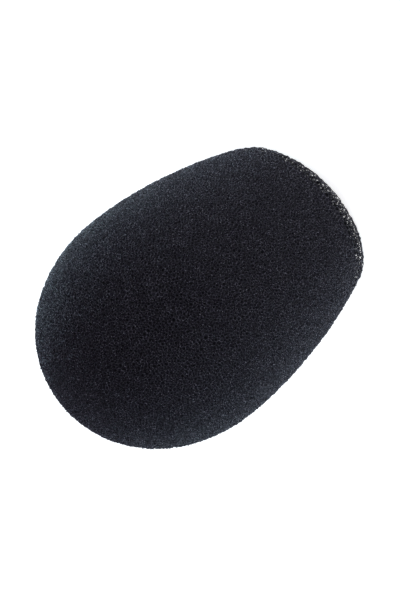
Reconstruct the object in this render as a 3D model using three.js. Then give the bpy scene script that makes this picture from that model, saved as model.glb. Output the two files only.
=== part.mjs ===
import * as THREE from 'three';

// Egg-shaped foam windscreen for a large studio microphone, in millimetres.
// It is one piece of open-cell foam with a blind socket. It stands on its flat mouth, dome up:
// +Z runs up the egg, and the origin lies in the mouth plane under the middle of the widest section.

// Outside of the egg
const bodyDiameter = 90; // at its widest section
const mouthDiameter = 66; // where the side would meet the mouth plane, before that edge is rounded
const sideHeight = 67; // from the mouth up to the widest section
const domeHeight = 53; // from the widest section up to the top

// Fullness of the two curves that meet at the widest section. 2 is an ellipse for the dome and a parabola
// for the side, and a larger value is squarer.
const domeFullness = 2.1;
const sideFullness = 1.95;

// The soft foam isn't quite true: it leans, and the mouth is cut a little askew.
const leanShare = 0.02; // of the height, towards +X
const mouthEdgeRadius = 7.5; // soft outer edge of the mouth, on average
const mouthEdgeSwing = 5; // softer by this towards +X, sharper by this towards -X
const leastMouthFlat = 0.5; // flat that is left beside the softest edge

// Socket that the microphone goes into
const mouthWall = 12; // foam between the socket and the side, in the mouth plane
const crownThickness = 32; // foam between the socket's blind end and the top
const socketLipRadius = 2; // soft inner edge of the mouth
const socketEndRadius = 8; // rounding where the socket's wall meets its blind end

// An edge is never rounded by more than this share of the wall or end that carries it.
const largestLipShare = 0.3;
const largestEndShare = 0.8;

// Facets
const turnSegments = 64;
const domeSteps = 14;
const sideSteps = 12;
const mouthEdgeSteps = 5;
const socketLipSteps = 3;
const socketWallSteps = 6;
const socketEndSteps = 4;

const bodyRadius = bodyDiameter / 2;
const mouthRadius = mouthDiameter / 2;
const socketRadius = mouthRadius - mouthWall;
const bodyLength = sideHeight + domeHeight;
const socketDepth = bodyLength - crownThickness;
const lipRadius = Math.min(socketLipRadius, mouthWall * largestLipShare);
const endRadius = Math.min(socketEndRadius, socketRadius * largestEndShare);

// The side flares from the mouth by this angle, so an edge of radius 1 reaches less than 1 into the mouth.
const mouthFlare = Math.atan(sideFullness * (bodyRadius - mouthRadius) / sideHeight);
const edgeReachShare = Math.tan((Math.PI / 2 - mouthFlare) / 2);
const largestEdgeRadius = (mouthWall - lipRadius - leastMouthFlat) / edgeReachShare;

// A half section is a list of points (distance from the axis, height). Each helper leaves its last point to
// the curve that follows, so no point comes twice.
function sweepPoints(steps, pointAt) {
  return Array.from({ length: steps }, (_, step) => pointAt(step / steps));
}

function arcPoints(centre, radius, startAngle, endAngle, steps) {
  return sweepPoints(steps, (share) => {
    const angle = THREE.MathUtils.lerp(startAngle, endAngle, share);
    return new THREE.Vector2(
      centre.x + radius * Math.cos(angle),
      centre.y + radius * Math.sin(angle),
    );
  });
}

// The dome is a quarter of a superellipse, from the top down to the widest section.
function domePoint(share) {
  const angle = share * Math.PI / 2;
  return new THREE.Vector2(
    bodyRadius * Math.sin(angle) ** (2 / domeFullness),
    sideHeight + domeHeight * Math.cos(angle) ** (2 / domeFullness),
  );
}

// The side leaves the widest section upright and tapers to the mouth.
function sidePoint(height) {
  const drop = 1 - height / sideHeight;
  const reach = mouthRadius - bodyRadius;
  return new THREE.Vector2(bodyRadius + reach * drop ** sideFullness, height);
}

// Direction into the foam, square to the side at that height.
function sideInward(height) {
  const drop = 1 - height / sideHeight;
  const reach = mouthRadius - bodyRadius;
  const slope = -reach * sideFullness * drop ** (sideFullness - 1) / sideHeight;
  return new THREE.Vector2(-1, slope).normalize();
}

// The mouth's outer edge is an arc that touches both the side and the mouth plane. Its centre lies one
// radius above the mouth, so the height where it leaves the side is found by halving.
function findEdgeStart(edgeRadius) {
  let low = 0;
  let high = sideHeight;
  for (let halving = 0; halving < 40; halving += 1) {
    const height = (low + high) / 2;
    const centreHeight = height + edgeRadius * sideInward(height).y;
    if (centreHeight < edgeRadius) {
      low = height;
    } else {
      high = height;
    }
  }
  return high;
}

function makeHalfSection(turn) {
  const edgeRadius = Math.min(mouthEdgeRadius + mouthEdgeSwing * Math.cos(turn), largestEdgeRadius);
  const edgeStart = findEdgeStart(edgeRadius);
  const inward = sideInward(edgeStart);
  const edgeCentre = sidePoint(edgeStart).addScaledVector(inward, edgeRadius);
  const edgeAngle = Math.atan2(-inward.y, -inward.x);
  const lipCentre = new THREE.Vector2(socketRadius + lipRadius, lipRadius);
  const endCentre = new THREE.Vector2(socketRadius - endRadius, socketDepth - endRadius);
  const wallHeight = endCentre.y - lipCentre.y;
  return [
    ...sweepPoints(domeSteps, domePoint),
    ...sweepPoints(sideSteps, (share) => sidePoint(THREE.MathUtils.lerp(sideHeight, edgeStart, share))),
    ...arcPoints(edgeCentre, edgeRadius, edgeAngle, -Math.PI / 2, mouthEdgeSteps),
    new THREE.Vector2(edgeCentre.x, 0),
    ...arcPoints(lipCentre, lipRadius, -Math.PI / 2, -Math.PI, socketLipSteps),
    ...sweepPoints(
      socketWallSteps,
      (share) => new THREE.Vector2(socketRadius, lipCentre.y + wallHeight * share),
    ),
    ...arcPoints(endCentre, endRadius, 0, Math.PI / 2, socketEndSteps),
    new THREE.Vector2(endCentre.x, socketDepth),
    new THREE.Vector2(0, socketDepth),
  ];
}

// Turns a half section that may change with the angle. Its two ends lie on the axis, so each is one vertex,
// and every point between them is a ring of vertices.
function makeTurnedGeometry(sectionAt, segments) {
  const turns = Array.from({ length: segments }, (_, step) => step / segments * 2 * Math.PI);
  const sections = turns.map(sectionAt);
  const lastRow = sections[0].length - 1;
  const places = [0, 0, sections[0][0].y];
  for (let row = 1; row < lastRow; row += 1) {
    turns.forEach((turn, column) => {
      const point = sections[column][row];
      places.push(point.x * Math.cos(turn), point.x * Math.sin(turn), point.y);
    });
  }
  places.push(0, 0, sections[0][lastRow].y);
  const vertexAt = (row, column) => 1 + (row - 1) * segments + column % segments;
  const endVertex = places.length / 3 - 1;
  const corners = [];
  for (let column = 0; column < segments; column += 1) {
    corners.push(0, vertexAt(1, column), vertexAt(1, column + 1));
    for (let row = 1; row < lastRow - 1; row += 1) {
      corners.push(vertexAt(row, column), vertexAt(row + 1, column), vertexAt(row + 1, column + 1));
      corners.push(vertexAt(row, column), vertexAt(row + 1, column + 1), vertexAt(row, column + 1));
    }
    corners.push(vertexAt(lastRow - 1, column), endVertex, vertexAt(lastRow - 1, column + 1));
  }
  const geometry = new THREE.BufferGeometry();
  geometry.setAttribute('position', new THREE.Float32BufferAttribute(places, 3));
  geometry.setIndex(corners);
  return geometry;
}

// Black polyurethane foam: matt, with a faint blue cast
const foamMaterial = new THREE.MeshStandardMaterial({ color: 0x1e1f24, roughness: 0.95, metalness: 0 });

function makeFoamBody() {
  const geometry = makeTurnedGeometry(makeHalfSection, turnSegments);
  geometry.applyMatrix4(new THREE.Matrix4().makeShear(0, 0, 0, 0, leanShare, 0));
  geometry.translate(-leanShare * sideHeight, 0, 0);
  geometry.computeVertexNormals();
  const mesh = new THREE.Mesh(geometry, foamMaterial);
  mesh.name = 'foam_body';
  return mesh;
}

const windscreen = new THREE.Group();
windscreen.add(makeFoamBody());

export default windscreen;
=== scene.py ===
import math
import bpy
import numpy as np
from mathutils import Matrix, Vector
from mathutils.geometry import delaunay_2d_cdt
from mathutils.kdtree import KDTree


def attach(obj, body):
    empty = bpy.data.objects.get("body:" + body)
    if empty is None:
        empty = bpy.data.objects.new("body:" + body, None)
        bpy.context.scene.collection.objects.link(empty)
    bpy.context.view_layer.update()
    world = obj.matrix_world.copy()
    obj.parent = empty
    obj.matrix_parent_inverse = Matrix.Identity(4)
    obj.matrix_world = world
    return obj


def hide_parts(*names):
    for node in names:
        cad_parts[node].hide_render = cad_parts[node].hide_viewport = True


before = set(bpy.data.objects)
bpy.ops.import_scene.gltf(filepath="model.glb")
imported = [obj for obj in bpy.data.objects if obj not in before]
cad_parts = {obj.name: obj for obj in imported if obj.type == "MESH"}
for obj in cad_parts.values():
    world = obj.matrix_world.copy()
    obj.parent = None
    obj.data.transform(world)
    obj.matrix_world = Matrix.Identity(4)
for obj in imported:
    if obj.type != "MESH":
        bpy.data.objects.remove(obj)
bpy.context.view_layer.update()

# Foam windscreen for a large studio microphone: one egg of open-cell foam with a blind socket. It stands
# on its flat mouth, with +Z up the egg, and sizes are in metres.
# The foam is built in layers: a pitted body, a skin of open cells round it, and struts that tie the two
# together. At the mouth the open cells go deeper, so light comes through its edge.

scene = bpy.context.scene


def addNode(tree, kind, **settings):
    node = tree.nodes.new(kind)
    for name, value in settings.items():
        setattr(node, name, value)
    return node


# The nodes of a new material or world, with none in them yet
def emptyNodes(owner):
    owner.use_nodes = True
    owner.node_tree.nodes.clear()
    return owner.node_tree


# A socket takes a link from another socket, or a plain value.
def feed(tree, socket, value):
    if isinstance(value, bpy.types.NodeSocket):
        tree.links.new(value, socket)
    else:
        socket.default_value = value


def maths(tree, operation, first, second=0.0):
    node = addNode(tree, "ShaderNodeMath", operation=operation)
    feed(tree, node.inputs[0], first)
    feed(tree, node.inputs[1], second)
    return node.outputs[0]


def mapped(tree, value, fromLow, fromHigh, toLow, toHigh):
    node = addNode(tree, "ShaderNodeMapRange")
    for socket, number in zip(node.inputs, (value, fromLow, fromHigh, toLow, toHigh)):
        feed(tree, socket, number)
    return node.outputs[0]


def scaled(tree, vector, factor):
    node = addNode(tree, "ShaderNodeVectorMath", operation="SCALE")
    feed(tree, node.inputs[0], vector)
    feed(tree, node.inputs["Scale"], factor)
    return node.outputs[0]


def namedValue(tree, name, kind="FLOAT"):
    node = addNode(tree, "GeometryNodeInputNamedAttribute", data_type=kind)
    node.inputs["Name"].default_value = name
    return node.outputs[0]


def storeValue(tree, geometry, name, value, domain, kind="FLOAT", selection=None):
    node = addNode(tree, "GeometryNodeStoreNamedAttribute", data_type=kind, domain=domain)
    node.inputs["Name"].default_value = name
    tree.links.new(geometry, node.inputs["Geometry"])
    feed(tree, node.inputs["Value"], value)
    if selection is not None:
        tree.links.new(selection, node.inputs["Selection"])
    return node.outputs[0]


# A tree with a Geometry and a Material input, and with number inputs of these names. Each run sets them.
def newGeometryTree(name, *labels):
    tree = bpy.data.node_groups.new(name, "GeometryNodeTree")
    tree.interface.new_socket("Geometry", in_out="OUTPUT", socket_type="NodeSocketGeometry")
    tree.interface.new_socket("Geometry", in_out="INPUT", socket_type="NodeSocketGeometry")
    for label in labels:
        kind = "NodeSocketInt" if label == "Seed" else "NodeSocketFloat"
        tree.interface.new_socket(label, in_out="INPUT", socket_type=kind)
    tree.interface.new_socket("Material", in_out="INPUT", socket_type="NodeSocketMaterial")
    start = addNode(tree, "NodeGroupInput")
    return tree, start.outputs


def endTree(tree, given, geometry):
    realize = addNode(tree, "GeometryNodeRealizeInstances")
    finish = addNode(tree, "GeometryNodeSetMaterial")
    out = addNode(tree, "NodeGroupOutput")
    tree.links.new(geometry, realize.inputs[0])
    tree.links.new(realize.outputs[0], finish.inputs["Geometry"])
    tree.links.new(given["Material"], finish.inputs["Material"])
    tree.links.new(finish.outputs[0], out.inputs[0])


# Runs a tree on a mesh and returns the plain mesh that comes out.
def runTree(mesh, tree, values):
    holder = bpy.data.objects.new("treeHolder", mesh)
    scene.collection.objects.link(holder)
    modifier = holder.modifiers.new(tree.name, "NODES")
    modifier.node_group = tree
    sockets = {
        item.name: item.identifier
        for item in tree.interface.items_tree
        if item.item_type == "SOCKET" and item.in_out == "INPUT"
    }
    for label, value in values.items():
        modifier[sockets[label]] = value
    graph = bpy.context.evaluated_depsgraph_get()
    made = bpy.data.meshes.new_from_object(holder.evaluated_get(graph), depsgraph=graph)
    holder.modifiers.remove(modifier)
    bpy.data.objects.remove(holder)
    return made


def readArray(items, key, kind=np.float32, width=1):
    values = np.empty(len(items) * width, dtype=kind)
    items.foreach_get(key, values)
    return values


def readPoints(mesh):
    return readArray(mesh.vertices, "co", width=3).reshape(-1, 3).astype(float)


def readFloats(mesh, name):
    return readArray(mesh.attributes[name].data, "value").astype(float)


def storeFloats(mesh, name, values):
    store = mesh.attributes.new(name, "FLOAT", "POINT")
    store.data.foreach_set("value", values.astype(np.float32))


def meshOf(name, points, faces, edges=()):
    mesh = bpy.data.meshes.new(name)
    mesh.from_pydata(np.asarray(points).tolist(), list(edges), np.asarray(faces).tolist())
    mesh.update()
    return mesh


egg = {
    "radius": 0.045,          # at the widest section
    "mouthRadius": 0.033,     # where the side would meet the mouth plane
    "sideHeight": 0.067,      # from the mouth up to the widest section
    "domeHeight": 0.053,
    "domeFullness": 2.1,      # 2 is an ellipse for the dome and a parabola for the side
    "sideFullness": 1.95,
    "edgeRound": 0.0075,      # outer edge of the mouth
    "edgeRoundSwing": 0.005,  # the cut is a little askew: softer towards +X, sharper towards -X
    "lean": 0.02,             # and the soft egg leans that much of its height towards +X
    "socketRadius": 0.021,
    "socketDepth": 0.088,
    "lipRound": 0.002,
    "endRound": 0.008,
    "settledTop": 0.0012,     # up to here the foam is pressed together where it stands
    "turns": 144,             # columns of the surfaces that the cells are scattered on
    "poleRadius": 0.0003,     # those surfaces end this near to the axis
    "halvings": 40,           # to find where the mouth's edge leaves the side
}


def sideRadius(height):
    drop = 1 - height / egg["sideHeight"]
    return egg["radius"] + (egg["mouthRadius"] - egg["radius"]) * drop ** egg["sideFullness"]


# Direction into the foam, square to the side
def sideInward(height):
    drop = 1 - height / egg["sideHeight"]
    reach = egg["mouthRadius"] - egg["radius"]
    slope = -reach * egg["sideFullness"] * drop ** (egg["sideFullness"] - 1) / egg["sideHeight"]
    long = np.hypot(1, slope)
    return -1 / long, slope / long


def edgeRounding(angle):
    return egg["edgeRound"] + egg["edgeRoundSwing"] * np.cos(angle)


# Start height, arc centre and start direction of the mouth's outer edge, at an angle round the axis
def edgeOf(angle):
    rounding = edgeRounding(angle)
    low, high = 0.0, egg["sideHeight"]
    for _ in range(egg["halvings"]):
        height = (low + high) / 2
        if height + rounding * sideInward(height)[1] < rounding:
            low = height
        else:
            high = height
    inX, inZ = sideInward(high)
    return high, sideRadius(high) + rounding * inX, math.atan2(-inZ, -inX)


def arc(centreX, centreZ, radius, start, end, steps):
    angles = np.linspace(start, end, steps)
    return np.stack([centreX + radius * np.cos(angles), centreZ + radius * np.sin(angles)], axis=1)


def insetCurve(curve, inset):
    along = np.gradient(curve, axis=0)
    along /= np.linalg.norm(along, axis=1)[:, None]
    moved = curve + inset * np.stack([along[:, 1], -along[:, 0]], axis=1)
    moved[:, 0] = np.maximum(moved[:, 0], egg["poleRadius"])
    return moved


# From the top down to the widest section, inset square to the surface
def domeCurve(steps, inset=0.0):
    first = (egg["poleRadius"] / egg["radius"]) ** (egg["domeFullness"] / 2)
    angles = np.linspace(math.asin(first), math.pi / 2, steps)
    power = 2 / egg["domeFullness"]
    out = egg["radius"] * np.sin(angles) ** power
    up = egg["sideHeight"] + egg["domeHeight"] * np.cos(angles) ** power
    return insetCurve(np.stack([out, up], axis=1), inset)


def sideCurve(lowest, steps, inset=0.0):
    heights = np.linspace(egg["sideHeight"], lowest, steps)
    return insetCurve(np.stack([sideRadius(heights), heights], axis=1), inset)


skin = {
    "spacings": (             # from this height up, least distance between neighbouring cells
        (-1.0, 0.00120),
        (0.0080, 0.00106),
        (0.0110, 0.00084),
        (0.0140, 0.00067),
    ),
    "dropped": 0.04,          # share of the cells left out, so that sizes vary
    "wallTop": 0.0070,        # how far the skin goes up the socket
    "opening": 0.86,          # share of a cell's width that stays open
    "openingSpread": 0.05,    # a cell's own share is up to this much more or less
    "thickness": 0.00032,     # of the struts, square to the surface
    "innerPoreShade": 0.15,   # painted pore shade, by how deep a pore is: 0 at the outside and 1 at a pit's floor
    # the struts' backs, towards the body, get more painted shade
    "backPoreShade": 0.3,
    "weld": 0.000004,         # corners nearer than this are joined
    "unevenness": 0.00085,    # the most that the surface swells or sinks
    "unevennessSize": 900.0,  # scale of its noise, per metre
    "wornShare": 0.16,        # of the cells' corners, which are lower by the wear
    "wear": 0.00028,
    "seeds": {"scatter": 11, "wear": 8, "opening": 6},
    # points on each stretch of the section
    "steps": {"dome": 60, "side": 60, "edge": 16, "face": 6, "lip": 8, "wall": 6},
}

body = {
    "spacings": ((-1.0, 0.00105),),
    "dropped": 0.08,
    "gap": 0.0011,            # from the skin down to the body
    "mouthGap": 0.0050,       # from the mouth up to the body's lowest face
    "rimTop": 0.0025,         # from this far above that face the side and the socket's wall are plain
    "rimWidth": 0.0020,       # and the face is flat from this far inside them
    "outerRim": ((0.0002, 0.0010), (0.0009, 0.0003)),  # in from the side, up from the face
    "innerRim": ((0.0007, 0.0004), (0.0001, 0.0012)),  # out from the socket's wall, up from the face
    "socketSkin": 0.0012,     # cells this near to the socket belong to it
    "pitDepth": 0.00085,
    "shallowestShare": 0.6,   # of the pit depth
    "deepestShare": 1.25,
    "crestWidthShare": 0.80,  # of the cell's width, inside the rounded crest
    "crestDropShare": 0.18,   # of the pit's depth
    # painted pore shade on the slope of a crest
    "crestPoreShade": 0.2,
    "floorWidthShare": 0.62,  # of the width inside the crest
    "unevenness": 0.00016,
    "unevennessSize": 420.0,
    "wornShare": 0.12,
    "wear": 0.00022,
    "seeds": {"scatter": 23, "wear": 3, "pits": 4},
    "steps": {"dome": 60, "side": 60, "face": 8, "wall": 50, "endEdge": 14, "end": 12},
}

scattering = {
    "candidates": 3.5e6,      # tries per square metre
    "bandGapShare": 0.25,     # of the spacing, kept free on either side of a change of spacing
}


# Outside of the foam, from the top of the dome round the mouth's edge and a little way up the socket
def skinSection(angle):
    rounding = edgeRounding(angle)
    start, centre, edgeAngle = edgeOf(angle)
    socket = egg["socketRadius"]
    lip = egg["lipRound"]
    lipX = socket + lip
    steps = skin["steps"]
    return np.concatenate([
        domeCurve(steps["dome"])[:-1],
        sideCurve(start, steps["side"])[:-1],
        arc(centre, rounding, rounding, edgeAngle, -math.pi / 2, steps["edge"])[:-1],
        np.linspace((centre, 0), (lipX, 0), steps["face"])[:-1],
        arc(lipX, lip, lip, -math.pi / 2, -math.pi, steps["lip"])[:-1],
        np.linspace((socket, lip), (socket, skin["wallTop"]), steps["wall"]),
    ])


# The pitted body: inset under the skin, cut back over the mouth, and flush in the socket. Its section is
# the same at every angle.
def bodySection(angle):
    level = body["mouthGap"]
    socket = egg["socketRadius"]
    outer = sideRadius(level) - body["gap"]
    width = body["rimWidth"]
    rimTop = level + body["rimTop"]
    end = egg["endRound"]
    depth = egg["socketDepth"]
    steps = body["steps"]
    return np.concatenate([
        domeCurve(steps["dome"], body["gap"])[:-1],
        sideCurve(rimTop, steps["side"], body["gap"]),
        [(outer - inwards, level + up) for inwards, up in body["outerRim"]],
        np.linspace((outer - width, level), (socket + width, level), steps["face"]),
        [(socket + outwards, level + up) for outwards, up in body["innerRim"]],
        np.linspace((socket, rimTop), (socket, depth - end), steps["wall"])[:-1],
        arc(socket - end, depth - end, end, 0, math.pi / 2, steps["endEdge"])[:-1],
        np.linspace((socket - end, depth), (egg["poleRadius"], depth), steps["end"]),
    ])


# Running sum of length over radius: together with the angle it makes a map that keeps angles.
def mapHeights(section):
    steps = np.linalg.norm(np.diff(section, axis=0), axis=1)
    middles = (section[1:, 0] + section[:-1, 0]) / 2
    return np.concatenate([[0], np.cumsum(steps / middles)])


# A section turned round the axis, with the map height as an attribute
def turnedMesh(name, sectionAt):
    turns = egg["turns"]
    angles = np.arange(turns) * 2 * math.pi / turns
    sections = np.array([sectionAt(angle) for angle in angles])
    out, up = sections[:, :, 0].T, sections[:, :, 1].T
    points = np.stack([out * np.cos(angles), out * np.sin(angles), up], axis=-1)
    rows = points.shape[0]
    heights = np.mean([mapHeights(section) for section in sections], axis=0).repeat(turns)
    index = np.arange(rows * turns).reshape(rows, turns)
    right = np.roll(index, -1, axis=1)
    quads = np.stack([index[:-1], index[1:], right[1:], right[:-1]], axis=-1).reshape(-1, 4)
    mesh = meshOf(name, points.reshape(-1, 3), quads)
    storeFloats(mesh, "mapHeight", heights)
    return mesh


# Points at least Spacing apart, less a random share of them
def makeScatterTree():
    tree, given = newGeometryTree("scatterCells", "Spacing", "Candidates", "Dropped", "Seed")
    scatter = addNode(tree, "GeometryNodeDistributePointsOnFaces", distribute_method="POISSON")
    luck = addNode(tree, "FunctionNodeRandomValue", data_type="BOOLEAN")
    thin = addNode(tree, "GeometryNodeDeleteGeometry", domain="POINT")
    toVertices = addNode(tree, "GeometryNodePointsToVertices")
    tree.links.new(given["Geometry"], scatter.inputs["Mesh"])
    tree.links.new(given["Spacing"], scatter.inputs["Distance Min"])
    tree.links.new(given["Candidates"], scatter.inputs["Density Max"])
    tree.links.new(given["Seed"], scatter.inputs["Seed"])
    tree.links.new(given["Dropped"], luck.inputs["Probability"])
    tree.links.new(given["Seed"], luck.inputs["Seed"])
    tree.links.new(scatter.outputs["Points"], thin.inputs["Geometry"])
    tree.links.new(luck.outputs[3], thin.inputs["Selection"])  # the boolean one
    tree.links.new(thin.outputs[0], toVertices.inputs["Points"])
    endTree(tree, given, toVertices.outputs[0])
    return tree


# Triangles become cells round their corners, with an uneven and partly worn crest.
def makeCellTree():
    labels = ("Unevenness", "Unevenness Size", "Worn Share", "Wear", "Seed")
    tree, given = newGeometryTree("openCells", *labels)
    cells = addNode(tree, "GeometryNodeDualMesh")
    normal = addNode(tree, "GeometryNodeInputNormal")
    noise = addNode(tree, "ShaderNodeTexNoise")
    worn = addNode(tree, "FunctionNodeRandomValue", data_type="BOOLEAN")
    move = addNode(tree, "GeometryNodeSetPosition")
    tree.links.new(given["Geometry"], cells.inputs[0])
    geometry = storeValue(tree, cells.outputs[0], "outward", normal.outputs[0], "POINT", "FLOAT_VECTOR")
    tree.links.new(given["Unevenness Size"], noise.inputs["Scale"])
    tree.links.new(given["Worn Share"], worn.inputs["Probability"])
    tree.links.new(given["Seed"], worn.inputs["Seed"])
    swell = mapped(tree, noise.outputs[0], 0.0, 1.0, -1.0, 1.0)
    swing = maths(tree, "MULTIPLY", given["Unevenness"], swell)
    loss = maths(tree, "MULTIPLY", worn.outputs[3], given["Wear"])
    rise = maths(tree, "SUBTRACT", swing, loss)
    outward = namedValue(tree, "outward", "FLOAT_VECTOR")
    tree.links.new(geometry, move.inputs["Geometry"])
    tree.links.new(scaled(tree, outward, rise), move.inputs["Offset"])
    endTree(tree, given, move.outputs[0])
    return tree


# One ring inwards in every cell: its face shrinks or grows about its centre, and sinks, and takes a value
# of painted pore shade.
def addRing(tree, geometry, selection, scale, drop, depth):
    extrude = addNode(tree, "GeometryNodeExtrudeMesh")
    extrude.inputs["Individual"].default_value = True
    extrude.inputs["Offset Scale"].default_value = 0.0
    shrink = addNode(tree, "GeometryNodeScaleElements", domain="FACE")
    sink = addNode(tree, "GeometryNodeSetPosition")
    tree.links.new(geometry, extrude.inputs["Mesh"])
    if selection is not None:
        tree.links.new(selection, extrude.inputs["Selection"])
    top = extrude.outputs["Top"]
    tree.links.new(extrude.outputs["Mesh"], shrink.inputs["Geometry"])
    tree.links.new(top, shrink.inputs["Selection"])
    feed(tree, shrink.inputs["Scale"], scale)
    tree.links.new(shrink.outputs[0], sink.inputs["Geometry"])
    tree.links.new(top, sink.inputs["Selection"])
    inward = scaled(tree, namedValue(tree, "outward", "FLOAT_VECTOR"), maths(tree, "MULTIPLY", drop, -1.0))
    tree.links.new(inward, sink.inputs["Offset"])
    return storeValue(tree, sink.outputs[0], "poreShade", depth, "POINT", selection=top), top


# A random number for each cell, kept with its faces
def cellLuck(tree, geometry, low, high, seed):
    number = addNode(tree, "FunctionNodeRandomValue", data_type="FLOAT")
    feed(tree, number.inputs[2], low)
    feed(tree, number.inputs[3], high)
    tree.links.new(seed, number.inputs["Seed"])
    return storeValue(tree, geometry, "cellLuck", number.outputs[1], "FACE"), namedValue(tree, "cellLuck")


# Cells of the body: a rounded crest, a wall and a floor, painted in more shade the deeper they lie
def makePitTree():
    labels = ("Depth", "Shallowest", "Deepest", "Crest", "Crest Drop", "Crest Pore Shade", "Floor", "Seed")
    tree, given = newGeometryTree("pits", *labels)
    geometry, luck = cellLuck(tree, given["Geometry"], given["Shallowest"], given["Deepest"], given["Seed"])
    depth = maths(tree, "MULTIPLY", given["Depth"], luck)
    drop = maths(tree, "MULTIPLY", depth, given["Crest Drop"])
    geometry, top = addRing(tree, geometry, None, given["Crest"], drop, given["Crest Pore Shade"])
    rest = maths(tree, "MULTIPLY", depth, maths(tree, "SUBTRACT", 1.0, given["Crest Drop"]))
    geometry, top = addRing(tree, geometry, top, given["Floor"], rest, 1.0)
    endTree(tree, given, geometry)
    return tree


# Cells of the skin: open windows, with struts of a four-sided section between them, whose inner and back
# faces are painted in some shade
def makeSkinTree():
    poreShades = ("Inner Pore Shade", "Back Pore Shade")
    labels = ("Thickness", "Opening", "Opening Spread", *poreShades, "Weld", "Seed")
    tree, given = newGeometryTree("openSkin", *labels)
    least = maths(tree, "SUBTRACT", given["Opening"], given["Opening Spread"])
    most = maths(tree, "ADD", given["Opening"], given["Opening Spread"])
    geometry, opening = cellLuck(tree, given["Geometry"], least, most, given["Seed"])
    half = maths(tree, "MULTIPLY", given["Thickness"], 0.5)
    geometry, top = addRing(tree, geometry, None, opening, half, given["Inner Pore Shade"])
    back = maths(tree, "DIVIDE", 1.0, opening)
    geometry, top = addRing(tree, geometry, top, back, half, given["Back Pore Shade"])
    drop = addNode(tree, "GeometryNodeDeleteGeometry", domain="FACE", mode="ONLY_FACE")
    weld = addNode(tree, "GeometryNodeMergeByDistance")
    tree.links.new(geometry, drop.inputs["Geometry"])
    tree.links.new(top, drop.inputs["Selection"])
    tree.links.new(drop.outputs[0], weld.inputs["Geometry"])
    tree.links.new(given["Weld"], weld.inputs["Distance"])
    endTree(tree, given, weld.outputs[0])
    return tree


# Edges become three-sided struts.
def makeStrutTree():
    tree, given = newGeometryTree("struts", "Radius")
    line = addNode(tree, "GeometryNodeMeshToCurve")
    ring = addNode(tree, "GeometryNodeCurvePrimitiveCircle", mode="RADIUS")
    ring.inputs["Resolution"].default_value = 3  # sides
    tube = addNode(tree, "GeometryNodeCurveToMesh")
    tree.links.new(given["Geometry"], line.inputs["Mesh"])
    tree.links.new(given["Radius"], ring.inputs["Radius"])
    tree.links.new(line.outputs[0], tube.inputs["Curve"])
    tree.links.new(ring.outputs[0], tube.inputs["Profile Curve"])
    tree.links.new(namedValue(tree, "girth"), tube.inputs["Scale"])
    endTree(tree, given, tube.outputs[0])
    return tree


scatterTree = makeScatterTree()
cellTree = makeCellTree()
pitTree = makePitTree()
skinTree = makeSkinTree()
strutTree = makeStrutTree()
print("trees built")

strandLook = {
    "strandSize": 2600.0,     # scales of the two noises, per metre
    "grainSize": 2600.0,
    "smoothAt": 0.35,         # values of the strand noise that are the smoothest and the roughest
    "roughAt": 0.65,
    "darkAt": 0.44,
    "dark": (0.022, 0.0209, 0.0288, 1),
    "paleAt": 0.60,
    "pale": (0.105, 0.1000, 0.137, 1),
    "glintAt": 0.71,          # painted glints: a few strands are far paler than that
    "glint": (0.650, 0.632, 0.728, 1),
    "pore": (0.003, 0.0029, 0.004, 1),  # painted shade deep in a pore
    "smoothest": 0.12,        # roughness of the darkest strands, and of the palest
    "roughest": 0.62,
    "specular": 0.3,
    "bumpStrength": 1.0,
    "bumpHeight": 0.00022,
}

# Painted shade: the foam below the skin is a darker copy of the foam, as deeper struts shade it.
shadedDeepLook = {
    **strandLook,
    "dark": (0.020, 0.0186, 0.0264, 1),
    "pale": (0.050, 0.0453, 0.0675, 1),
    "glint": (0.050, 0.0453, 0.0675, 1),
    "pore": (0.008, 0.0074, 0.0106, 1),
    "smoothest": 0.55,
    "roughest": 0.90,
    "specular": 0.25,
}


# Noise of two kinds: how the foam varies from strand to strand, and its grain
def makeGrainGroup():
    group = bpy.data.node_groups.new("foamGrain", "ShaderNodeTree")
    group.interface.new_socket("Vector", in_out="INPUT", socket_type="NodeSocketVector")
    for label in ("Strand Size", "Grain Size"):
        group.interface.new_socket(label, in_out="INPUT", socket_type="NodeSocketFloat")
    for label in ("Strand", "Grain"):
        group.interface.new_socket(label, in_out="OUTPUT", socket_type="NodeSocketFloat")
    given = addNode(group, "NodeGroupInput").outputs
    out = addNode(group, "NodeGroupOutput")
    for label, detail, socket in (("Strand Size", 3.0, "Strand"), ("Grain Size", 2.0, "Grain")):
        noise = addNode(group, "ShaderNodeTexNoise")
        noise.inputs["Detail"].default_value = detail
        group.links.new(given[label], noise.inputs["Scale"])
        group.links.new(given["Vector"], noise.inputs["Vector"])
        group.links.new(noise.outputs[0], out.inputs[socket])
    return group


grainGroup = makeGrainGroup()


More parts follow.
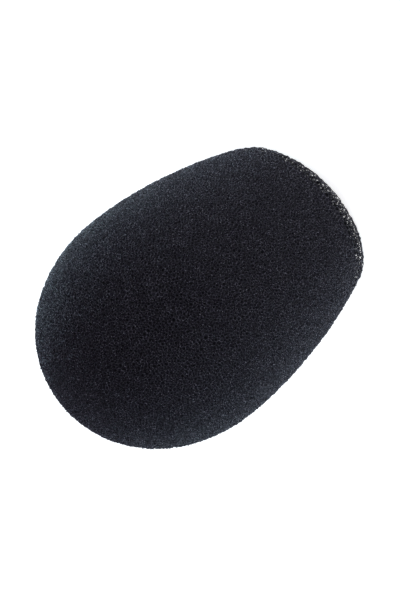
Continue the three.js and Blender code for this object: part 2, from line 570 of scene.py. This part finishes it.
def makeFoamMaterial(name, look):
    material = bpy.data.materials.new(name)
    tree = emptyNodes(material)
    shader = addNode(tree, "ShaderNodeBsdfPrincipled")
    out = addNode(tree, "ShaderNodeOutputMaterial")
    tree.links.new(shader.outputs[0], out.inputs["Surface"])
    where = addNode(tree, "ShaderNodeTexCoord")
    grain = addNode(tree, "ShaderNodeGroup", node_tree=grainGroup)
    tree.links.new(where.outputs["Object"], grain.inputs["Vector"])
    for label, key in (("Strand Size", "strandSize"), ("Grain Size", "grainSize")):
        grain.inputs[label].default_value = look[key]
    # Strand noise gives random tone from dark to pale, and at its top the glint colour: painted glints.
    ramp = addNode(tree, "ShaderNodeValToRGB")
    first, last = ramp.color_ramp.elements
    first.position, first.color = look["darkAt"], look["dark"]
    last.position, last.color = look["glintAt"], look["glint"]
    middle = ramp.color_ramp.elements.new(look["paleAt"])
    middle.color = look["pale"]
    tree.links.new(grain.outputs["Strand"], ramp.inputs[0])
    # Painted shade: the deeper a face lies in a pore, the more its colour goes over to the dark pore
    # colour.
    depth = addNode(tree, "ShaderNodeAttribute", attribute_name="poreShade")
    darken = addNode(tree, "ShaderNodeMix", data_type="RGBA", blend_type="MIX")
    tree.links.new(depth.outputs["Fac"], darken.inputs["Factor"])
    tree.links.new(ramp.outputs[0], darken.inputs[6])  # its two colours are the inputs 6 and 7
    darken.inputs[7].default_value = look["pore"]
    tree.links.new(darken.outputs[2], shader.inputs["Base Color"])
    span = look["smoothAt"], look["roughAt"], look["smoothest"], look["roughest"]
    tree.links.new(mapped(tree, grain.outputs["Strand"], *span), shader.inputs["Roughness"])
    shader.inputs["Specular IOR Level"].default_value = look["specular"]
    bump = addNode(tree, "ShaderNodeBump")
    bump.inputs["Strength"].default_value = look["bumpStrength"]
    bump.inputs["Distance"].default_value = look["bumpHeight"]
    tree.links.new(grain.outputs["Grain"], bump.inputs["Height"])
    tree.links.new(bump.outputs[0], shader.inputs["Normal"])
    return material


foamMaterial = makeFoamMaterial("openCellFoam", strandLook)
shadedDeepMaterial = makeFoamMaterial("shadedDeepFoam", shadedDeepLook)


def scatterOn(base, settings, spacing):
    made = runTree(base, scatterTree, {
        "Spacing": spacing,
        "Candidates": scattering["candidates"],
        "Dropped": settings["dropped"],
        "Seed": settings["seeds"]["scatter"],
    })
    return readPoints(made), readFloats(made, "mapHeight")


# Cells may widen in bands of height.
def scatterCells(base, settings):
    points, heights = [], []
    bands = settings["spacings"]
    tops = [low for low, _ in bands[1:]] + [math.inf]
    for (low, spacing), top in zip(bands, tops):
        places, mapPlaces = scatterOn(base, settings, spacing)
        gap = spacing * scattering["bandGapShare"]
        own = (places[:, 2] > low + gap) & (places[:, 2] < top - gap)
        points.append(places[own])
        heights.append(mapPlaces[own])
    return np.concatenate(points), np.concatenate(heights)


# Joins points on a turned surface into triangles, in the map that keeps angles. A pole is the point at
# the far end. It would lie at infinity in the map, so it is joined to the map's outline.
def triangulate(points, heights, pole=None):
    angles = np.arctan2(points[:, 1], points[:, 0])
    reach = np.exp(heights - heights.mean())
    flat = np.stack([reach * np.cos(angles), reach * np.sin(angles)], axis=1)
    made = delaunay_2d_cdt([Vector(p) for p in flat], [], [], 0, 0.0)
    vertexOf = np.array([sources[0] for sources in made[3]])
    triangles = vertexOf[np.array(made[2])]
    if pole is None:
        return points, triangles
    sides = np.concatenate([triangles[:, [0, 1]], triangles[:, [1, 2]], triangles[:, [2, 0]]]).tolist()
    known = set(map(tuple, sides))
    outline = [side for side in sides if (side[1], side[0]) not in known]
    fan = np.array([(side[1], side[0], len(points)) for side in outline])
    return np.vstack([points, pole]), np.concatenate([triangles, fan])


def makeCells(name, sectionAt, settings, pole=None):
    points, heights = scatterCells(turnedMesh(name + "Base", sectionAt), settings)
    points, triangles = triangulate(points, heights, pole)
    cells = runTree(meshOf(name + "Triangles", points, triangles), cellTree, {
        "Unevenness": settings["unevenness"],
        "Unevenness Size": settings["unevennessSize"],
        "Worn Share": settings["wornShare"],
        "Wear": settings["wear"],
        "Seed": settings["seeds"]["wear"],
        "Material": foamMaterial,
    })
    print(name, "cells", len(cells.polygons))
    return cells


bodyCells = makeCells("body", bodySection, body, pole=(0, 0, egg["socketDepth"]))
skinCells = makeCells("skin", skinSection, skin)
bodyPits = runTree(bodyCells, pitTree, {
    "Depth": body["pitDepth"],
    "Shallowest": body["shallowestShare"],
    "Deepest": body["deepestShare"],
    "Crest": body["crestWidthShare"],
    "Crest Drop": body["crestDropShare"],
    "Crest Pore Shade": body["crestPoreShade"],
    "Floor": body["floorWidthShare"],
    "Seed": body["seeds"]["pits"],
    "Material": foamMaterial,
})
openSkin = runTree(skinCells, skinTree, {
    "Thickness": skin["thickness"],
    "Opening": skin["opening"],
    "Opening Spread": skin["openingSpread"],
    "Inner Pore Shade": skin["innerPoreShade"],
    "Back Pore Shade": skin["backPoreShade"],
    "Weld": skin["weld"],
    "Seed": skin["seeds"]["opening"],
    "Material": foamMaterial,
})

lattice = {
    "pitch": 0.0023,          # width of the pattern in which every node has four struts
    "jitter": 0.00028,
    "start": 0.0015,          # the pattern starts this far inside the socket's wall,
    "deepest": 0.0165,        # goes at least this far out from there
    "highest": 0.0030,        # and at least this far up above the body's lowest face
    "overlap": 0.0002,        # nodes up to this far above that face stay
    "margin": 0.00030,        # kept free under the skin
    "neighbourShare": 0.433,  # distance between neighbours, as a share of the pitch
    "linkShare": 1.45,        # a link is at most this share of that distance
    "radius": 0.000130,
    "thinnestShare": 0.70,    # of that radius
    "thickestShare": 1.25,
    "thickeningShare": 1.6,   # more from the mouth up to the body, so less light comes through
    "tiedShare": 0.5,         # of the skin's nodes, with a strut to the body
    "mouthTiedShare": 0.45,   # or to the lattice
    "mouthReach": 0.0008,     # skin up to here above the body's lowest face is tied to the lattice
    "bodyReach": 0.0011,      # nodes from this far below that face upwards are tied to the body
    "longestTie": 0.0021,
    "skinPoreShade": 0.25,    # painted pore shade of a strut's end at the skin, and at the body
    "bodyPoreShade": 0.85,
    "edgeSamples": 73,        # places round the axis where the mouth's edge is worked out
    "seeds": {"jitter": 5, "ties": 17, "girth": 9},
}


def treeOf(points):
    tree = KDTree(len(points))
    for index, point in enumerate(points):
        tree.insert(point, index)
    tree.balance()
    return tree


# Radius of the outside at a height, near the mouth
def outerRadius(heights, angles):
    around = np.linspace(-math.pi, math.pi, lattice["edgeSamples"])
    starts, centres = (np.interp(angles, around, [edgeOf(a)[k] for a in around]) for k in (0, 1))
    rounding = edgeRounding(angles)
    rise = np.clip(rounding - heights, 0, None)
    onArc = centres + np.sqrt(np.maximum(rounding ** 2 - rise ** 2, 0))
    return np.where(heights < starts, onArc, sideRadius(heights))


def innerRadius(heights):
    lip = egg["lipRound"]
    rise = np.clip(lip - heights, 0, lip)
    return egg["socketRadius"] + lip - np.sqrt(lip ** 2 - rise ** 2)


# Nodes of the foam inside the mouth, bent round the axis
def makeLattice():
    pitch = lattice["pitch"]
    middle = (egg["socketRadius"] + egg["mouthRadius"]) / 2
    around = round(2 * math.pi * middle / pitch)
    rng = np.random.default_rng(lattice["seeds"]["jitter"])
    corners = np.array([(0, 0, 0), (0, 2, 2), (2, 0, 2), (2, 2, 0)])  # in quarters of the pitch
    deep = math.ceil(lattice["deepest"] / pitch) + 1
    tall = math.ceil((body["mouthGap"] + lattice["highest"]) / pitch) + 1
    grid = np.stack(np.meshgrid(np.arange(around), np.arange(deep), np.arange(tall), indexing="ij"), -1)
    firstKind = (grid.reshape(-1, 1, 3) * 4 + corners).reshape(-1, 3)
    kinds = np.repeat([0, 1], len(firstKind))
    cells = np.concatenate([firstKind, firstKind + 1])
    place = cells * pitch / 4 + rng.uniform(-1, 1, (len(cells), 3)) * lattice["jitter"]
    angles = place[:, 0] / (around * pitch) * 2 * math.pi
    angles = (angles + math.pi) % (2 * math.pi) - math.pi
    radii = egg["socketRadius"] - lattice["start"] + place[:, 1]
    heights = place[:, 2]
    margin = lattice["margin"]
    inside = (
        (heights > margin)
        & (heights < body["mouthGap"] + lattice["overlap"])
        & (radii > innerRadius(heights) + margin)
        & (radii < outerRadius(heights, angles) - margin)
    )
    points = np.stack([radii * np.cos(angles), radii * np.sin(angles), heights], axis=1)[inside]
    print("lattice nodes", len(points))
    return points, kinds[inside]


# Each node of the first kind reaches for its four nearest of the second kind.
def linkLattice(points, kinds):
    second = np.flatnonzero(kinds == 1)
    tree = treeOf(points[second])
    reach = lattice["pitch"] * lattice["neighbourShare"] * lattice["linkShare"]
    return [
        (points[index], points[second[other]])
        for index in np.flatnonzero(kinds == 0)
        for _, other, distance in tree.find_n(points[index], 4)
        if distance < reach
    ]


# Ends of the struts between the skin and the body: by way of the lattice in the mouth, and straight
def tieFoam():
    skinNodes = readPoints(skinCells)
    nodes, kinds = makeLattice()
    lines = linkLattice(nodes, kinds)
    bodyTree, latticeTree = treeOf(readPoints(bodyCells)), treeOf(nodes)
    nearMouth = skinNodes[:, 2] < body["mouthGap"] + lattice["mouthReach"]
    luck = np.random.default_rng(lattice["seeds"]["ties"]).uniform(size=len(skinNodes))
    tied = luck < np.where(nearMouth, lattice["mouthTiedShare"], lattice["tiedShare"])
    straight = []
    for place, inMouth in zip(skinNodes[tied], nearMouth[tied]):
        target, _, distance = (latticeTree if inMouth else bodyTree).find(place)
        if distance < lattice["longestTie"]:
            (lines if inMouth else straight).append((place, target))
    for place in nodes[nodes[:, 2] > body["mouthGap"] - lattice["bodyReach"]]:
        target, _, distance = bodyTree.find(place)
        if distance < lattice["longestTie"]:
            lines.append((place, target))
    return lines, straight


# Struts of the lattice get thicker, and are painted darker as shade, from the mouth up to the body. A
# straight one is painted as dark as the skin at one end and as the body at the other.
def makeStruts():
    lines, straight = tieFoam()
    points = np.array([tuple(end) for line in lines + straight for end in line])
    edges = [(index, index + 1) for index in range(0, len(points), 2)]
    mesh = meshOf("strutLines", points, [], edges)
    firstStraight = 2 * len(lines)
    rise = np.clip(points[:, 2] / body["mouthGap"], 0, 1)
    rise[firstStraight:] = 0
    rng = np.random.default_rng(lattice["seeds"]["girth"])
    girth = rng.uniform(lattice["thinnestShare"], lattice["thickestShare"], len(points))
    shallow, deep = lattice["skinPoreShade"], lattice["bodyPoreShade"]
    depth = shallow + (deep - shallow) * rise
    depth[firstStraight + 1::2] = deep
    storeFloats(mesh, "girth", girth * (1 + lattice["thickeningShare"] * rise ** 2))
    storeFloats(mesh, "poreShade", depth)
    print("struts", len(edges))
    return runTree(mesh, strutTree, {"Radius": lattice["radius"], "Material": foamMaterial})


struts = makeStruts()

# The map that the material is baked through, a square of this width. Each chart has a scale and a place:
# the lower left corner of a band, or the centre of a disc.
charts = {
    "width": 0.262,
    "domeFrom": 0.095,        # above this height the outside is on the dome's disc
    "edgeShare": 0.29,        # below this share of the edge's rounding it is on the mouth's disc
    "bodyRim": 0.0012,        # and so is the body, up to here above its lowest face
    "endShare": 0.3,          # of the socket's end rounding, below the end, is on the end's disc
    "strutHalf": 0.0003,      # half the square that each face of a strut gets
    "margin": 0.0015,         # between a band and its corner
    "skin": {
        "side": (1.0, (0.0, 0.0), (0.0, 0.097)),
        "dome": (1.0, (0.1865, 0.0415)),
        "mouth": (1.0, (0.1805, 0.1185)),
    },
    "body": {
        "side": (0.5, (0.1030, 0.1980), (0.1765, 0.1980)),
        "dome": (0.5, (0.2390, 0.1040)),
        "mouth": (0.5, (0.2390, 0.1435)),
    },
    "socketWall": (0.75, (0.0, 0.195)),
    "socketEnd": (1.0, (0.1670, 0.1750)),
}


def inSocket(places):
    near = body["socketSkin"]
    inside = np.hypot(places[:, 0], places[:, 1]) < egg["socketRadius"] + near
    return inside & (places[:, 2] < egg["socketDepth"] + near)


def faceCentres(places, corners, counts):
    starts = np.concatenate([[0], np.cumsum(counts)[:-1]])
    return np.add.reduceat(places[corners], starts, axis=0) / counts[:, None]


def mapOnDisc(spots, scale, centre):
    return spots[:, :2] * scale + centre


def mapOnBand(spots, around, scale, corner):
    return (np.stack([around, spots[:, 2]], axis=1) + charts["margin"]) * scale + corner


# Where each corner of each face lies on the map. A face goes to one chart, by its centre.
def mapCorners(places, corners, counts, centres, layer, isStrut):
    faceOf = np.repeat(np.arange(len(counts)), counts)
    turn = np.arctan2(centres[:, 1], centres[:, 0])
    spots = centres[faceOf] if isStrut else places[corners]
    middle = turn[faceOf]
    angle = np.arctan2(spots[:, 1], spots[:, 0]) - middle
    angle = (angle + math.pi) % (2 * math.pi) - math.pi + middle  # a face at the seam stays whole
    own = charts[layer]
    scale, first, second = own["side"]
    inSecond = middle < 0
    around = (angle + np.where(inSecond, math.pi, 0.0)) * egg["radius"]
    flat = mapOnBand(spots, around, scale, np.where(inSecond[:, None], second, first))
    heights = centres[:, 2]
    if layer == "body":
        lowest = body["mouthGap"] + charts["bodyRim"]
    else:
        lowest = charts["edgeShare"] * edgeRounding(turn)
    onMouth = (heights < lowest)[faceOf]
    onDome = (heights > charts["domeFrom"])[faceOf]
    flat[onDome] = mapOnDisc(spots[onDome], *own["dome"])
    flat[onMouth] = mapOnDisc(spots[onMouth], *own["mouth"])
    if layer == "body" and not isStrut:
        hollow = inSocket(centres) & (heights > lowest)
        onEnd = (hollow & (heights > egg["socketDepth"] - egg["endRound"] * charts["endShare"]))[faceOf]
        onWall = hollow[faceOf] & ~onEnd
        around = (angle[onWall] + math.pi) * egg["socketRadius"]
        flat[onWall] = mapOnBand(spots[onWall], around, *charts["socketWall"])
        flat[onEnd] = mapOnDisc(spots[onEnd], *charts["socketEnd"])
    if isStrut:
        square = np.array([(-1, -1), (1, -1), (1, 1), (-1, 1)]) * charts["strutHalf"]
        flat += square[np.arange(len(corners)) % 4]
    return flat / charts["width"]


# The lowest struts are pressed together a little, so that the foam stands on the floor and not in it.
def settle(heights):
    lowest, top = heights.min(), egg["settledTop"]
    return np.where(heights < top, top * (heights - lowest) / (top - lowest), heights)


# One mesh from the body, the skin and the struts, with their painted pore shade and their map
def joinFoam(name):
    points, corners, counts, poreShades, flats, slots = [], [], [], [], [], []
    offset = 0
    sources = (bodyPits, "body", False), (openSkin, "skin", False), (struts, "body", True)
    for mesh, layer, isStrut in sources:
        places = readPoints(mesh)
        loops = readArray(mesh.loops, "vertex_index", np.int32)
        sizes = readArray(mesh.polygons, "loop_total", np.int32)
        centres = faceCentres(places, loops, sizes)
        # Pits of the body outside the socket take the darker copy of the material: painted shade under the
        # skin.
        isDeep = ~inSocket(centres) if mesh == bodyPits else np.zeros(len(sizes), dtype=bool)
        poreShades.append(readFloats(mesh, "poreShade"))
        flats.append(mapCorners(places, loops, sizes, centres, layer, isStrut))
        slots.append(isDeep)
        points.append(places)
        corners.append(loops + offset)
        counts.append(sizes)
        offset += len(places)
    points = np.concatenate(points)
    points[:, 0] += egg["lean"] * (points[:, 2] - egg["sideHeight"])
    points[:, 2] = settle(points[:, 2])
    corners, counts = np.concatenate(corners), np.concatenate(counts)
    made = bpy.data.meshes.new(name)
    made.vertices.add(len(points))
    made.vertices.foreach_set("co", points.ravel().astype(np.float32))
    made.loops.add(len(corners))
    made.loops.foreach_set("vertex_index", corners)
    made.polygons.add(len(counts))
    made.polygons.foreach_set("loop_start", np.concatenate([[0], np.cumsum(counts)[:-1]]).astype(np.int32))
    made.update(calc_edges=True)
    storeFloats(made, "poreShade", np.concatenate(poreShades))
    layer = made.uv_layers.new(name="OFBake")
    layer.uv.foreach_set("vector", np.concatenate(flats).ravel().astype(np.float32))
    made.polygons.foreach_set("use_smooth", np.ones(len(counts), dtype=bool))
    made.materials.append(foamMaterial)
    made.materials.append(shadedDeepMaterial)
    made.polygons.foreach_set("material_index", np.concatenate(slots).astype(np.int32))
    print("foam triangles", int((counts - 2).sum()), "faults found", made.validate())
    made.update()
    return made


foamMesh = joinFoam("foamWindscreen")
foamBody = bpy.data.objects.new("foamWindscreen", foamMesh)
scene.collection.objects.link(foamBody)
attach(foamBody, "root")
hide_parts("foam_body")

view = {
    "aimHeight": 0.060,       # the camera looks at the middle of the egg's axis
    "distance": 0.607,
    "elevation": 27.9,        # degrees above the floor
    "roll": 129.9,            # degrees that the picture is turned, anticlockwise
    "imageWidth": 400,
    "imageHeight": 600,
    "aimX": 191.1,            # pixel where the middle of the egg lands
    "aimY": 306.7,
    "lens": 100.0,
    "sensor": 36.0,
    "nearest": 0.01,          # what the camera sees starts and ends at these distances
    "farthest": 50,
}


def makeCamera():
    elevation = math.radians(view["elevation"])
    roll = math.radians(view["roll"])
    back = Vector((0, -math.cos(elevation), math.sin(elevation)))
    level = Vector((1, 0, 0))
    upright = Vector((0, math.sin(elevation), math.cos(elevation)))
    across = level * math.cos(roll) - upright * math.sin(roll)
    up = level * math.sin(roll) + upright * math.cos(roll)
    middle = Vector((-egg["lean"] * egg["sideHeight"], 0, view["aimHeight"]))
    place = middle + back * view["distance"]
    pixel = view["distance"] * view["sensor"] / view["lens"] / view["imageHeight"]
    # The camera stays in its place and turns, so that the egg's middle lands on its pixel.
    aim = (
        middle
        + across * (view["imageWidth"] / 2 - view["aimX"]) * pixel
        + up * (view["aimY"] - view["imageHeight"] / 2) * pixel
    )
    back = (place - aim).normalized()
    across = up.cross(back).normalized()
    up = back.cross(across)
    data = bpy.data.cameras.new("photoCamera")
    data.lens = view["lens"]
    data.sensor_width = view["sensor"]
    data.sensor_fit = "AUTO"
    data.clip_start = view["nearest"]
    data.clip_end = view["farthest"]
    camera = bpy.data.objects.new("photoCamera", data)
    camera.matrix_world = Matrix((across, up, back)).transposed().to_4x4()
    camera.matrix_world.translation = place
    scene.collection.objects.link(camera)
    scene.camera = camera


makeCamera()
print("camera placed")

studio = {
    "floorSize": 6.0,
    "floorColor": (0.78, 0.78, 0.78, 1),
    "floorBounce": 0.60,      # light from below, as from a pale table under a soft lamp
    "floorGlow": 0.86,        # and what camera rays, gloss and transmission see of it instead
    "ambient": 0.05,          # soft light from the sides, and from overhead
    "overhead": 0.54,
    "whiteBelow": -0.05,      # gloss sees a white backdrop up to this Z of a ray's direction,
    "dimAbove": 0.25,         # and no more than the soft light from this one
    "skyTint": (1.0, 0.95, 1.08, 1),
    "lampTint": (0.70, 1.02, 1.12),
    "boxes": (                # place, width, watts
        ((0.42, 0.12, 0.09), 0.16, 1.34),
        ((-1.00, 0.25, 0.45), 0.4, 4.9),
        ((-0.12, -0.40, 0.03), 0.024, 0.048),
    ),
}


def makeFloor():
    half = studio["floorSize"] / 2
    corners = [(-half, -half, 0), (half, -half, 0), (half, half, 0), (-half, half, 0)]
    mesh = meshOf("studioFloor", corners, [(0, 1, 2, 3)])
    material = bpy.data.materials.new("paleFloor")
    tree = emptyNodes(material)
    matt = addNode(tree, "ShaderNodeBsdfDiffuse")
    matt.inputs["Color"].default_value = studio["floorColor"]
    glow = addNode(tree, "ShaderNodeEmission")
    rays = addNode(tree, "ShaderNodeLightPath")
    seen = maths(tree, "MAXIMUM", rays.outputs["Is Camera Ray"], rays.outputs["Is Glossy Ray"])
    seen = maths(tree, "MAXIMUM", seen, rays.outputs["Is Transmission Ray"])
    strength = mapped(tree, seen, 0.0, 1.0, studio["floorBounce"], studio["floorGlow"])
    tree.links.new(strength, glow.inputs["Strength"])
    both = addNode(tree, "ShaderNodeAddShader")
    out = addNode(tree, "ShaderNodeOutputMaterial")
    tree.links.new(matt.outputs[0], both.inputs[0])
    tree.links.new(glow.outputs[0], both.inputs[1])
    tree.links.new(both.outputs[0], out.inputs["Surface"])
    mesh.materials.append(material)
    floor = bpy.data.objects.new("studioFloor", mesh)
    scene.collection.objects.link(floor)


def makeLights():
    for number, (place, width, power) in enumerate(studio["boxes"]):
        data = bpy.data.lights.new(f"softBox{number + 1}", "AREA")
        data.shape = "SQUARE"
        data.size = width
        data.energy = power
        data.color = studio["lampTint"]
        lamp = bpy.data.objects.new(data.name, data)
        lamp.location = place
        aim = Vector((0, 0, view["aimHeight"])) - Vector(place)
        lamp.rotation_euler = aim.to_track_quat("-Z", "Y").to_euler()
        scene.collection.objects.link(lamp)


def makeWorld():
    world = bpy.data.worlds.new("studio")
    tree = emptyNodes(world)
    rays = addNode(tree, "ShaderNodeLightPath")
    where = addNode(tree, "ShaderNodeTexCoord")
    apart = addNode(tree, "ShaderNodeSeparateXYZ")
    tree.links.new(where.outputs["Generated"], apart.inputs[0])
    low = mapped(tree, apart.outputs["Z"], studio["whiteBelow"], studio["dimAbove"], 1.0, 0.0)
    gloss = maths(tree, "MULTIPLY", rays.outputs["Is Glossy Ray"], low)
    seen = maths(tree, "MAXIMUM", rays.outputs["Is Camera Ray"], rays.outputs["Is Transmission Ray"])
    seen = maths(tree, "MAXIMUM", seen, gloss)
    plain = addNode(tree, "ShaderNodeBackground")
    plain.inputs["Color"].default_value = studio["skyTint"]
    overhead = mapped(tree, apart.outputs["Z"], 0.0, 1.0, studio["ambient"], studio["overhead"])
    tree.links.new(overhead, plain.inputs["Strength"])
    white = addNode(tree, "ShaderNodeBackground")
    white.inputs["Color"].default_value = (1, 1, 1, 1)
    mix = addNode(tree, "ShaderNodeMixShader")
    out = addNode(tree, "ShaderNodeOutputWorld")
    tree.links.new(seen, mix.inputs[0])
    tree.links.new(plain.outputs[0], mix.inputs[1])
    tree.links.new(white.outputs[0], mix.inputs[2])
    tree.links.new(mix.outputs[0], out.inputs["Surface"])
    scene.world = world


makeFloor()
makeLights()
makeWorld()
scene.view_settings.view_transform = "Standard"
print("studio set")
